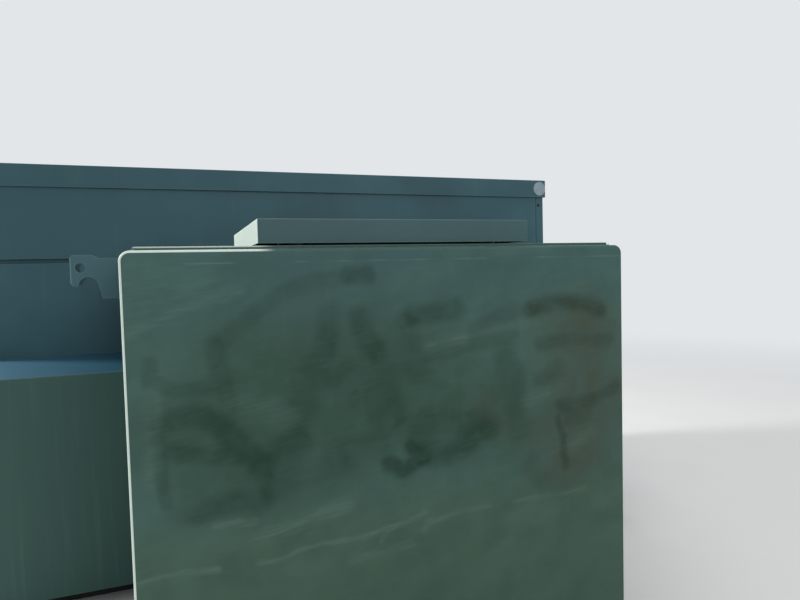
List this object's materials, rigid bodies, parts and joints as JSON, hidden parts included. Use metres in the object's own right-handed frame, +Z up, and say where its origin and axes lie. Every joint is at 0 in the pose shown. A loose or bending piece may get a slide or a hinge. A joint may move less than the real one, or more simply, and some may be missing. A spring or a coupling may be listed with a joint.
{
  "type": "pad-mounted utility cabinet",
  "caption": "Pad-mounted green steel utility cabinet: plain tank with capped handhole and lifting lugs, behind it a wider doored cabinet with side steps and tip-back hood.",
  "frame": {"origin": "centre of the footprint at pad level, under the middle of the whole unit", "axes": "+X to the right of someone who faces the tank's plain front, +Y from the tank to the service doors, +Z up"},
  "size_m": [2.684, 2.012, 1.627],
  "materials": {
    "green_enamel": "semi-gloss pad-mount green over primer",
    "base_coating": "black protective undercoat",
    "seal_rubber": "closed-cell seal",
    "zinc_steel": "zinc-plated steel",
    "stainless_steel": "brushed stainless steel",
    "barrier_sheet": "glass-filled polyester sheet",
    "epoxy": "cast epoxy",
    "tinned_copper": "tin-plated copper",
    "valve_bronze": "cast bronze",
    "wheel_iron": "painted iron",
    "core_steel": "laminated core steel",
    "winding_paper": "oil-soaked kraft paper",
    "pale_disc": "plain pale plastic"
  },
  "bodies": {
    "enclosure": {"base_frame": "base_coating", "tank_shell": "green_enamel", "tank_cover": "green_enamel", "handhole_gasket": "seal_rubber", "handhole_plate": "stainless_steel", "handhole_bolts": "zinc_steel", "weather_cap": "green_enamel", "cap_nuts": "zinc_steel", "lift_lug_front_left": "green_enamel", "lift_lug_front_right": "green_enamel", "lift_lug_rear_left": "green_enamel", "lift_lug_rear_right": "green_enamel", "step_box_left": "green_enamel", "step_box_right": "green_enamel", "rear_panel_left": "green_enamel", "rear_panel_right": "green_enamel", "side_panel_left": "green_enamel", "side_panel_right": "green_enamel", "top_rim": "green_enamel", "door_frame": "green_enamel", "door_seals": "seal_rubber", "barrier_plate": "barrier_sheet", "hood_hinge_leaves": "green_enamel", "hinge_pins": "stainless_steel", "hood_bumpers": "seal_rubber", "door_hinge_leaves": "green_enamel", "hv_bushings": "epoxy", "lv_bushings": "epoxy", "lv_spades": "tinned_copper", "dial_gauges": "stainless_steel", "relief_valve": "stainless_steel", "control_glands": "stainless_steel", "drain_valve": "valve_bronze", "ground_bar": "tinned_copper", "core": "core_steel", "coils": "winding_paper"},
    "hood": {"hood_rear_wall": "green_enamel", "hood_front_wall": "green_enamel", "hood_end_left": "green_enamel", "hood_end_right": "green_enamel", "hood_bolts": "base_coating", "roof_cap": "green_enamel", "roof_disc": "pale_disc", "hood_hinge_straps": "green_enamel"},
    "switch": {"switch_handle": "stainless_steel"},
    "tap_changer": {"tap_handle": "stainless_steel"},
    "valve_wheel": {"valve_wheel": "wheel_iron"},
    "door_left": {"door_left": "green_enamel", "handle_plate_left": "green_enamel"},
    "handle_left": {"door_handle_left": "stainless_steel", "latch_cam_left": "zinc_steel"},
    "rod_upper_left": {"latch_rod_upper_left": "zinc_steel"},
    "rod_lower_left": {"latch_rod_lower_left": "zinc_steel"},
    "door_right": {"door_right": "green_enamel", "handle_plate_right": "green_enamel"},
    "handle_right": {"door_handle_right": "stainless_steel", "latch_cam_right": "zinc_steel"},
    "rod_upper_right": {"latch_rod_upper_right": "zinc_steel"},
    "rod_lower_right": {"latch_rod_lower_right": "zinc_steel"}
  },
  "joints": [
    {"name": "hood_tip", "type": "hinge", "parent": "enclosure", "child": "hood", "pos_m": [0, 0.334, 1.2165], "axis": [1, 0, 0], "range_deg": [0, 80]},
    {"name": "switch_turn", "type": "hinge", "parent": "enclosure", "child": "switch", "pos_m": [0.255, 0.347, 1], "axis": [0, -1, 0], "range_deg": [0, 90]},
    {"name": "tap_turn", "type": "hinge", "parent": "enclosure", "child": "tap_changer", "pos_m": [0.459, 0.347, 1], "axis": [0, -1, 0], "range_deg": [0, 144]},
    {"name": "valve_spin", "type": "hinge", "parent": "enclosure", "child": "valve_wheel", "pos_m": [-0.56, 0.417, 0.239], "axis": [0, 0, 1], "continuous": true},
    {"name": "door_swing_left", "type": "hinge", "parent": "enclosure", "child": "door_left", "pos_m": [-1.334, 0.968, 0.6415], "axis": [0, 0, 1], "range_deg": [0, 120]},
    {"name": "handle_turn_left", "type": "hinge", "parent": "door_left", "child": "handle_left", "pos_m": [-0.112, 0.964, 0.64], "axis": [0, 1, 0], "range_deg": [0, 90]},
    {"name": "rod_up_left", "type": "slide", "parent": "door_left", "child": "rod_upper_left", "axis": [0, 0, 1], "range_m": [0, 0.025]},
    {"name": "rod_down_left", "type": "slide", "parent": "door_left", "child": "rod_lower_left", "axis": [0, 0, -1], "range_m": [0, 0.025]},
    {"name": "door_swing_right", "type": "hinge", "parent": "enclosure", "child": "door_right", "pos_m": [1.334, 0.968, 0.6415], "axis": [0, 0, -1], "range_deg": [0, 120]},
    {"name": "handle_turn_right", "type": "hinge", "parent": "door_right", "child": "handle_right", "pos_m": [0.112, 0.964, 0.64], "axis": [0, -1, 0], "range_deg": [0, 90]},
    {"name": "rod_up_right", "type": "slide", "parent": "door_right", "child": "rod_upper_right", "axis": [0, 0, 1], "range_m": [0, 0.025]},
    {"name": "rod_down_right", "type": "slide", "parent": "door_right", "child": "rod_lower_right", "axis": [0, 0, -1], "range_m": [0, 0.025]}
  ],
  "couplings": [
    {"joint": "rod_up_left", "follows": "handle_turn_left", "m_per_rad": 0.015915},
    {"joint": "rod_down_left", "follows": "handle_turn_left", "m_per_rad": 0.015915},
    {"joint": "rod_up_right", "follows": "handle_turn_right", "m_per_rad": 0.015915},
    {"joint": "rod_down_right", "follows": "handle_turn_right", "m_per_rad": 0.015915}
  ]
}
